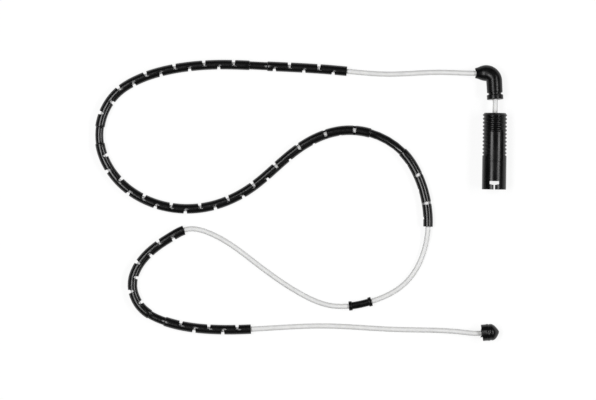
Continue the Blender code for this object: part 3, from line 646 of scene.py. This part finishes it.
def build_sleeve(sleeve, line):
    """A protective sleeve round the cable, notched from its two sides in turn, with soft edges."""
    notches, waists, head_end = sleeve_layout(sleeve)
    sectors = SLEEVE_SECTORS
    edge = SLEEVE_EDGE
    plain = {"radius": SLEEVE_RADIUS, "side": 0, "edge": 0, "soft": 0.0}
    rings = []

    def add(station, **changes):
        rings.append((station, {**plain, **changes}))

    add(head_end, radius=SLEEVE_RADIUS - edge)
    add(head_end + edge)
    for station, side in notches:
        add(station - edge, side=side, edge=-1)
        add(station, side=side, edge=-1, soft=edge, opens=True)
        add(station, side=side, edge=1, soft=edge)
        add(station + edge, side=side, edge=1)
    for start, end in waists:
        for share in (0, 0.25, 0.5, 0.75, 1):
            radius = WAIST_RADIUS + (SLEEVE_RADIUS - WAIST_RADIUS) * (1 + math.cos(math.pi * share)) / 2
            add(start + share * WAIST_TAPER, radius=radius)
            add(end - share * WAIST_TAPER, radius=radius)
        for share in (0.25, 0.5, 0.75):
            add(start + share * (end - start), radius=WAIST_RADIUS)
    add(sleeve.plug_end - edge)
    add(sleeve.plug_end, radius=SLEEVE_RADIUS - edge)
    rings.sort(key=lambda ring: (ring[0] + ring[1]["edge"] * NOTCH_MOUTH / 2))
    filled_in = [rings[0]]
    for ring in rings[1:]:
        gap = ring[0] - filled_in[-1][0]
        inside_waist = ring[1]["radius"] < SLEEVE_RADIUS - edge
        if gap > 3 * MM and not inside_waist:
            count = int(gap / (2.5 * MM))
            base = filled_in[-1][0]
            for k in range(1, count):
                filled_in.append((base + gap * k / count, dict(plain)))
        filled_in.append(ring)
    rings = filled_in
    twist_at, twist_by = np.array(sleeve.twist, float).T

    def place(ring, corner, outside):
        station, form = ring
        angle = 2 * math.pi * corner / sectors + math.pi / 2
        facing = form["side"] * math.cos(angle)
        reach = max(facing, 0.0) * (1 if outside else SLEEVE_BORE / SLEEVE_RADIUS)
        station += form["edge"] * (NOTCH_FLOOR + (NOTCH_MOUTH - NOTCH_FLOOR) * reach) / 2
        radius = form["radius"] - (form["soft"] if facing > -0.01 else 0.0)
        turn = angle + math.radians(np.interp(sleeve.plug_end - station, twist_at, twist_by))
        _, left, up = line.frame(station)
        away = math.cos(turn) * left + math.sin(turn) * up
        return line.at(station) + away * (radius if outside else SLEEVE_BORE)

    def solid(i, j):
        form = rings[i][1]
        middle = 2 * math.pi * (j + 0.5) / sectors + math.pi / 2
        return not form.get("opens") or form["side"] * math.cos(middle) < 0

    return swept(sleeve.node + "_notched", sectors, rings, place, solid)


def collar(name, line, outline, bore, sectors=64):
    """A hollow piece threaded on the cable, from its outer outline of (station, radius) points."""

    def place(ring, corner, outside):
        station, radius = ring
        turn = 2 * math.pi * corner / sectors
        _, left, up = line.frame(station)
        away = math.cos(turn) * left + math.sin(turn) * up
        return line.at(station) + away * (radius if outside else bore)

    return swept(name, sectors, outline, place, lambda i, j: True)


def build_grommet(line):
    """The grommet: a flange with rounded edges at each end of a plain barrel."""
    start = GROMMET_AT - GROMMET_LENGTH / 2
    end = GROMMET_AT + GROMMET_LENGTH / 2
    edge = 0.45 * MM
    big = GROMMET_FLANGE_RADIUS
    outline = [
        *arc(start + edge, big - edge, edge, 180, 90),
        *arc(start + GROMMET_FLANGE - edge, big - edge, edge, 90, 0),
    ]
    foot = 0.15 * MM
    barrel_start = start + GROMMET_FLANGE
    barrel_length = GROMMET_LENGTH - 2 * GROMMET_FLANGE
    outline.append((barrel_start + foot, GROMMET_RADIUS))
    for share in (0.2, 0.4, 0.6, 0.8):
        outline.append((barrel_start + share * barrel_length, GROMMET_RADIUS))
    outline.append((end - GROMMET_FLANGE - foot, GROMMET_RADIUS))
    outline += arc(end - GROMMET_FLANGE + edge, big - edge, edge, 180, 90)
    outline += arc(end - edge, big - edge, edge, 90, 0)
    return collar("grommet", line, outline, SLEEVE_BORE)


def boot_point(along):
    """The boot's centreline in plan at a distance from its mouth, and its heading there in radians."""
    past_arm = along - BOOT_ARM
    arm = math.radians(BOOT_ARM_HEADING)
    heading = arm - min(max(past_arm, 0), BOOT_SWEEP) / BOOT_BEND
    straight = min(past_arm, 0) + max(past_arm - BOOT_SWEEP, 0)
    x = BOOT_CORNER[0] + HEAD_REAR_X - BOOT_BEND * math.sin(heading) + straight * math.cos(heading)
    y = BOOT_CORNER[1] + BOOT_BEND * math.cos(heading) + straight * math.sin(heading)
    return x, y, heading


def build_boot(line):
    """The elbow boot: an open mouth with two lips, a bend about its corner, a groove and a flange."""
    flange_start = BOOT_LENGTH - BOOT_FLANGE
    groove_start = flange_start - BOOT_GROOVE
    elbow_end = BOOT_ARM + BOOT_SWEEP
    bore = SLEEVE_BORE
    # Each ring is its distance from the mouth, its outer and bore radii, and how far its lips reach
    rings = [
        (1.1 * MM, 2.85 * MM, 2.45 * MM, 1.0),
        (0.05 * MM, 3.0 * MM, 2.6 * MM, 1.0),
        (-0.25 * MM, 3.25 * MM, 2.7 * MM, 1.0),
        (-0.12 * MM, 3.5 * MM, 2.6 * MM, 0.95),
        (0.35 * MM, 3.7 * MM, 2.5 * MM, 0.75),
        (1.2 * MM, BOOT_THROAT_RADIUS, 2.4 * MM, 0.4),
    ]
    for share in (0.15, 0.35, 0.55, 0.75, 0.9):
        swell = (BOOT_ELBOW_RADIUS - BOOT_THROAT_RADIUS) * math.sin(math.pi / 2 * share)
        along = 1.4 * MM + share * (BOOT_ARM - 1.4 * MM)
        rings.append((along, BOOT_THROAT_RADIUS + swell, bore, 0.2 * (1 - share)))
    bend_steps = 14
    for k in range(bend_steps + 1):
        rings.append((BOOT_ARM + k / bend_steps * BOOT_SWEEP, BOOT_ELBOW_RADIUS, bore, 0.0))
    for share in (0.25, 0.5, 0.75, 0.93):
        radius = BOOT_ELBOW_RADIUS + share * (BOOT_LEG_RADIUS - BOOT_ELBOW_RADIUS)
        rings.append((elbow_end + share * (groove_start - elbow_end), radius, bore, 0.0))
    leg_edge, flange_edge, foot = 0.3 * MM, 0.35 * MM, 0.15 * MM
    outline = [
        *arc(groove_start - leg_edge, BOOT_LEG_RADIUS - leg_edge, leg_edge, 70, 0),
        (groove_start + foot, BOOT_GROOVE_RADIUS),
        (flange_start - foot, BOOT_GROOVE_RADIUS),
        *arc(flange_start + flange_edge, BOOT_FLANGE_RADIUS - flange_edge, flange_edge, 180, 90),
        *arc(BOOT_LENGTH - flange_edge, BOOT_FLANGE_RADIUS - flange_edge, flange_edge, 90, 0),
        (BOOT_LENGTH, bore + 0.3 * MM),
    ]
    rings += [(along, radius, bore, 0.0) for along, radius in outline]
    sectors = 72

    def place(ring, corner, outside):
        along, radius, inner, lips = ring
        angle = 2 * math.pi * corner / sectors
        reach = radius if outside else inner
        across = reach * math.cos(angle)
        above = reach * math.sin(angle)
        rise = line.at(BOOT_START + along + MM)[2] - line.at(BOOT_START + along - MM)[2]
        lean = above * rise / (2 * MM)
        lip = lips * BOOT_LIP_REACH * math.sin(angle) ** 2
        x, y, heading = boot_point(along + lip - lean)
        height = line.at(BOOT_START + along)[2] + above
        return x - across * math.sin(heading), y + across * math.cos(heading), height

    return swept("boot", sectors, rings, place, lambda i, j: True)


def build_head(placement):
    """The domed head, with its ridge, groove, rim and nose, its wire pocket and its flat underside."""
    outline = [(HEAD_INSET, HEAD_BORE_RADIUS)]
    outline += arc(HEAD_INSET + HEAD_EDGE, HEAD_RADIUS - HEAD_EDGE, HEAD_EDGE, 180, 90)
    for share in (0, 0.25, 0.5, 0.75, 1):
        rise = RIDGE_RISE * (1 - math.cos(math.pi * share)) / 2
        outline.append((RIDGE_AT - 0.95 * MM + 0.5 * MM * share, HEAD_RADIUS + rise))
    outline += arc(RIDGE_AT + 0.3 * MM, HEAD_RADIUS + RIDGE_RISE - 0.15 * MM, 0.15 * MM, 90, 20)
    outline += [(GROOVE_AT + off, HEAD_RADIUS - depth) for off, depth in GROOVE_SHAPE]
    outline += arc(GROOVE_AT + 0.75 * MM, HEAD_RADIUS - 0.15 * MM, 0.25 * MM, 150, 90)
    outline += arc(NOSE_START - 0.2 * MM, HEAD_RADIUS - 0.1 * MM, 0.2 * MM, 90, 20)
    nose_length = HEAD_LENGTH - NOSE_START
    for k in range(1, NOSE_STEPS):
        share = math.sin(math.pi / 2 * k / NOSE_STEPS)
        cone = (1 - NOSE_ROUNDNESS) * math.cos(math.pi / 2 * share)
        fullness = cone + NOSE_ROUNDNESS * math.sqrt(1 - share * share)
        outline.append((NOSE_START + nose_length * share, HEAD_RADIUS * fullness))
    outline.append((HEAD_LENGTH, 0))
    outline += [(HEAD_BORE_DEPTH, 0), (HEAD_BORE_DEPTH, HEAD_BORE_RADIUS)]
    head = turned("head_shell", outline, placement, steps=128)
    wide = 2 * HEAD_RADIUS
    below = [(-wide, -wide), (wide, -wide), (wide, -HEAD_FLAT), (-wide, -HEAD_FLAT)]
    cut(head, prism("underside", [(x, y, -wide) for x, y in below], (0, 0, 4 * wide), placement))
    for vertex in head.data.vertices:
        vertex.co.y -= NOSE_DRIFT * max(vertex.co.x - HEAD_REAR_X - 1.5 * MM, 0)
    return head


def build_gland(placement):
    """The rubber in the head's rear, with a lip that reaches out on one side of the cable."""
    outer = HEAD_BORE_RADIUS - 0.3 * MM
    outline = [
        (0, CABLE_BORE),
        *arc(0.2 * MM, GLAND_LIP_RADIUS - 0.35 * MM, 0.2 * MM, 180, 100),
        (HEAD_INSET, GLAND_LIP_RADIUS),
        (HEAD_INSET, outer),
        (GLAND_DEPTH, outer),
        (GLAND_DEPTH, CABLE_BORE),
    ]
    gland = turned("gland_rubber", outline, placement, steps=64)
    for vertex in gland.data.vertices:
        if vertex.co.x < HEAD_REAR_X + HEAD_INSET / 2:
            vertex.co.x -= LIP_SLANT * max(-vertex.co.y - CABLE_RADIUS, 0)
    return gland


def housing_outline():
    """The housing's outline from its cable end: ribs, the smooth end, the socket and the bores."""
    root = PLUG_RADIUS - RIB_DEPTH
    flank = ((0.98 * MM, 0.22 * MM), (1.15 * MM, 0.04 * MM))
    outline = [(0, SEAL_BORE_RADIUS), (0, PLUG_RADIUS - 1.3 * MM), (0.2 * MM, PLUG_RADIUS - 0.95 * MM)]
    for n in range(RIB_COUNT):
        middle = FIRST_RIB + n * RIB_PITCH
        if n > 0:
            outline += [(middle - off, root + rise) for off, rise in reversed(flank)]
        outline += arc(middle, PLUG_RADIUS - RIB_CREST, RIB_CREST, 160, 20, steps=8)
        outline += [(middle + off, root + rise) for off, rise in flank]
        outline.append((middle + RIB_PITCH / 2, root))
    smooth_start = FIRST_RIB + (RIB_COUNT - 0.5) * RIB_PITCH + 0.55 * MM
    outline += arc(smooth_start + 0.25 * MM, PLUG_RADIUS - 0.25 * MM, 0.25 * MM, 160, 90)
    for along in (SOCKET_START - 4 * MM, SLOT_START, SLIT_START):
        outline.append((along, PLUG_RADIUS))
    edge = 0.3 * MM
    outline += arc(PLUG_LENGTH - edge, PLUG_RADIUS - edge, edge, 90, 0)
    outline += arc(PLUG_LENGTH - edge, SOCKET_RADIUS + edge, edge, 0, -90)
    outline += [
        (SOCKET_START, SOCKET_RADIUS),
        (SOCKET_START, CARRIER_BORE_RADIUS),
        (SHOULDER_END, CARRIER_BORE_RADIUS),
        (SHOULDER_END, SHOULDER_RADIUS),
        (SEAL_BORE_DEPTH, SHOULDER_RADIUS),
        (SEAL_BORE_DEPTH, SEAL_BORE_RADIUS),
    ]
    return outline


def build_housing(placement):
    """The plug's body: rounded ribs, the raised panel across them and a T-shaped slot in each wall."""
    housing = turned("plug_shell", housing_outline(), placement, steps=128)
    top = PLUG_RADIUS + PANEL_RISE
    bottom = PLUG_RADIUS - RIB_DEPTH - 0.3 * MM
    steps = 18
    turns = [math.radians(PANEL_TURN + PANEL_ANGLE * (2 * k / steps - 1)) for k in range(steps + 1)]
    outline = [(bottom * math.sin(a), bottom * math.cos(a), PANEL_START) for a in turns]
    outline += [(top * math.sin(a), top * math.cos(a), PANEL_START) for a in reversed(turns)]
    panel = prism("panel", outline, (0, 0, PANEL_END - PANEL_START), placement, edge=0.22 * MM)
    cut(housing, panel, "UNION")
    past = PLUG_LENGTH + 3 * MM
    wide, thin, taper = SLOT_HALF_WIDTH, SLIT_HALF_WIDTH, SLIT_START - SLOT_TAPER
    slot = [
        (-wide, SLOT_START), (wide, SLOT_START), (wide, taper), (thin, SLIT_START),
        (thin, past), (-thin, past), (-thin, SLIT_START), (-wide, taper),
    ]
    deep = 2 * PLUG_RADIUS
    cut(housing, prism("slots", [(x + SLOT_SHIFT, -deep, z) for x, z in slot], (0, 2 * deep, 0), placement))
    return housing


def build_plug_inside(placement, rubber, insert, tin):
    """What shows in the plug's two ends: retainer, seals, contact carrier and contacts."""
    gap = 0.3 * MM
    outer = SEAL_BORE_RADIUS - gap
    ring = ring_profile(0.5 * MM, 3.9 * MM, outer, CABLE_BORE, 0.3 * MM)
    retainer = turned("plug_retainer", ring, placement)
    finish_piece(retainer, insert, "insert_nylon", "rear_retainer")
    seal_outline = [(4.2 * MM, CABLE_BORE)]
    for start in (4.2 * MM, 7.0 * MM, 9.8 * MM, 12.6 * MM):
        seal_outline.append((start, outer - 0.7 * MM))
        seal_outline += arc(start + 1.3 * MM, outer - 0.55 * MM, 0.55 * MM, 150, 30)
    seal_outline += [(15.2 * MM, outer - 0.7 * MM), (15.2 * MM, CABLE_BORE)]
    seal = turned("plug_wire_seal", seal_outline, placement)
    finish_piece(seal, rubber, "seal_rubber", "wire_seal")

    carrier_start = SHOULDER_END + gap
    carrier_outline = [
        (carrier_start, 0),
        (carrier_start, CARRIER_BORE_RADIUS - gap),
        *arc(SOCKET_START - 0.3 * MM, CARRIER_BORE_RADIUS - 0.6 * MM, 0.3 * MM, 90, 0),
        (SOCKET_START, 0),
    ]
    carrier = turned("plug_carrier", carrier_outline, placement)
    contacts = []
    for n, side in enumerate((-1, 1), 1):
        shift = placement @ Matrix.Translation((side * 2.3 * MM, 0, 0))
        drill = [(carrier_start - MM, 0), (carrier_start - MM, 1.6 * MM)]
        drill.append((SOCKET_START - 0.5 * MM, 1.6 * MM))
        drill += [(SOCKET_START + gap, 2.1 * MM), (SOCKET_START + gap, 0)]
        cut(carrier, turned("drill", drill, shift, steps=48))
        tube = ring_profile(24.2 * MM, 42.2 * MM, 1.3 * MM, 0.85 * MM, 0.12 * MM)
        contact = turned(f"socket_contact_{n}", tube, shift, steps=48)
        contacts.append(finish_piece(contact, tin, "contact_tin", f"contact_{n}"))
    finish_piece(carrier, insert, "insert_nylon", "contact_carrier")
    ring_start = SOCKET_START + gap
    ring = ring_profile(ring_start, ring_start + 2.0 * MM, SOCKET_RADIUS - gap, 4.3 * MM, 0.5 * MM)
    ring_seal = turned("socket_seal", ring, placement)
    finish_piece(ring_seal, rubber, "seal_rubber", "interface_seal")
    return [retainer, seal, carrier, *contacts, ring_seal]


# Studio

def photo_point(pixel_x, pixel_y):
    """The place on the surface that a pixel of the photograph looks down on."""
    right = (pixel_x - HEAD_REAR_PIXEL[0]) * METRES_PER_PIXEL
    up = (HEAD_REAR_PIXEL[1] - pixel_y) * METRES_PER_PIXEL
    c, s = math.cos(HEAD_TURN), math.sin(HEAD_TURN)
    return Vector((HEAD_REAR_X + c * right + s * up, c * up - s * right, 0))


def view_middle():
    """The place on the surface at the middle of the photograph."""
    return photo_point(PHOTO_WIDTH / 2, PHOTO_HEIGHT / 2)


def build_camera():
    """Straight down, with the head turned in the picture as in the photograph."""
    data = bpy.data.cameras.new("camera")
    data.type = "ORTHO"
    data.ortho_scale = PHOTO_WIDTH * METRES_PER_PIXEL
    data.clip_start = 0.01
    data.clip_end = 10
    camera = bpy.data.objects.new("camera", data)
    bpy.context.collection.objects.link(camera)
    place = view_middle() + Vector((0, 0, CAMERA_HEIGHT))
    camera.matrix_world = Matrix.Translation(place) @ Matrix.Rotation(-HEAD_TURN, 4, "Z")
    bpy.context.scene.camera = camera
    return camera


def add_softbox(name, camera, across, width, power):
    """A softbox aimed at the middle of the view, so many degrees to the right of overhead."""
    data = bpy.data.lights.new(name, "AREA")
    data.shape = "RECTANGLE"
    data.size = width
    data.size_y = SOFTBOX_LENGTH
    data.energy = power
    light = bpy.data.objects.new(name, data)
    light.visible_camera = False
    bpy.context.collection.objects.link(light)
    turn = Matrix.Rotation(math.radians(across), 4, "Y")
    frame = Matrix.Translation(view_middle()) @ camera.matrix_world.to_3x3().to_4x4()
    light.matrix_world = frame @ turn @ Matrix.Translation((0, 0, SOFTBOX_DISTANCE))


def build_studio(camera):
    """A floor that glows white where it is seen, a dim world and a softbox to each side."""
    scene = bpy.context.scene
    scene.view_settings.view_transform = "Standard"
    world = bpy.data.worlds.new("studio")
    scene.world = world
    world.use_nodes = True
    tree = world.node_tree
    background = tree.nodes["Background"]
    background.inputs["Color"].default_value = (1, 1, 1, 1)
    background.inputs["Strength"].default_value = WORLD_LEVEL

    data = bpy.data.meshes.new("floor")
    half = FLOOR_HALF
    middle = view_middle()
    corners = [(-half, -half), (half, -half), (half, half), (-half, half)]
    data.from_pydata([(middle.x + x, middle.y + y, -FLOOR_DROP) for x, y in corners], [], [(0, 1, 2, 3)])
    floor = bpy.data.objects.new("floor", data)
    bpy.context.collection.objects.link(floor)
    made, tree, shader = new_material("white_floor")
    shader.inputs["Base Color"].default_value = FLOOR_COLOR
    shader.inputs["Roughness"].default_value = 1.0
    shader.inputs["Specular IOR Level"].default_value = 0.0
    path = add_node(tree, "ShaderNodeLightPath")
    shown = add_node(tree, "ShaderNodeMath", operation="ADD", use_clamp=True)
    seen = add_node(tree, "ShaderNodeMath", operation="ADD", use_clamp=True)
    tree.links.new(path.outputs["Is Camera Ray"], shown.inputs[0])
    tree.links.new(path.outputs["Is Transmission Ray"], shown.inputs[1])
    tree.links.new(shown.outputs["Value"], seen.inputs[0])
    tree.links.new(path.outputs["Is Glossy Ray"], seen.inputs[1])
    glow = add_node(tree, "ShaderNodeMath", operation="MULTIPLY")
    glow.inputs[1].default_value = FLOOR_GLOW
    tree.links.new(seen.outputs["Value"], glow.inputs[0])
    shader.inputs["Emission Color"].default_value = (1, 1, 1, 1)
    tree.links.new(glow.outputs["Value"], shader.inputs["Emission Strength"])
    data.materials.append(made)

    add_softbox("left_softbox", camera, -23, 0.9, 60)
    add_softbox("right_softbox", camera, 43, 0.65, 48)


# Whole scene

def plain(corners):
    """A box's corners as plain lists of numbers."""
    return [[float(value) for value in corner] for corner in corners]


def main():
    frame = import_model()
    camera = build_camera()
    line = CableLine()
    nodes = frame["nodes"]

    jacket = cable_jacket()
    nylon = moulded_nylon("black_nylon", DEEP_BLACK, WORN_BLACK, 0.24)
    rubber = soft_rubber("black_rubber", DEEP_BLACK, BLOOM_BLACK, 0.27)
    seal_rubber = soft_rubber("seal_rubber", (0.02, 0.02, 0.022), (0.032, 0.032, 0.034), 0.5)
    insert = moulded_nylon("insert_nylon", (0.02, 0.02, 0.022), (0.035, 0.035, 0.037), 0.45)
    tin = drawn_metal("tinned_brass", (0.62, 0.6, 0.55), (0.78, 0.76, 0.7), 0.3)
    copper = drawn_metal("copper_wire", (0.62, 0.3, 0.17), (0.8, 0.42, 0.26), 0.28)
    insulation = moulded_nylon("core_insulation", (0.28, 0.24, 0.17), (0.38, 0.33, 0.25), 0.4)
    sleeve_finish = extruded_sleeve()

    cable, centreline = build_cable(line)
    finish_piece(cable, jacket, "cable_jacket", "cable")
    on_cable = []
    for sleeve in SLEEVES:
        piece = build_sleeve(sleeve, line)
        on_cable.append(finish_piece(piece, sleeve_finish, "sleeve_plastic", sleeve.node))
    on_cable.append(finish_piece(build_grommet(line), rubber, "boot_rubber", "mounting_grommet"))
    on_cable.append(finish_piece(build_boot(line), rubber, "boot_rubber", "elbow_boot"))

    along = line.frame(PLUG_REAR_AT + SEAL_BORE_DEPTH / 2)[0]
    plug_place = axis_matrix(Vector(line.at(PLUG_REAR_AT)), (along[0], along[1], 0))
    on_cable.append(finish_piece(build_housing(plug_place), nylon, "plug_nylon", "plug_housing"))
    on_cable += build_plug_inside(plug_place, seal_rubber, insert, tin)

    head_place = axis_matrix(Vector((HEAD_REAR_X, 0, HEAD_FLAT)), (1, 0, 0))
    finish_piece(build_head(head_place), nylon, "head_nylon", "head_body")
    finish_piece(build_gland(head_place), rubber, "seal_rubber", "cable_gland")

    kept = {
        "sensing_loop": copper,
        "crimp_sleeve_1": tin,
        "crimp_sleeve_2": tin,
        "head_core_1": insulation,
        "head_core_2": insulation,
        "plug_core_1": insulation,
        "plug_core_2": insulation,
    }
    for name, finish in kept.items():
        nodes[name].data.materials.clear()
        nodes[name].data.materials.append(finish)
    on_cable += [nodes["plug_core_1"], nodes["plug_core_2"]]

    steps = zip(centreline, centreline[1:])
    length = float(sum((Vector(b) - Vector(a)).length for a, b in steps))
    build_studio(camera)


main()
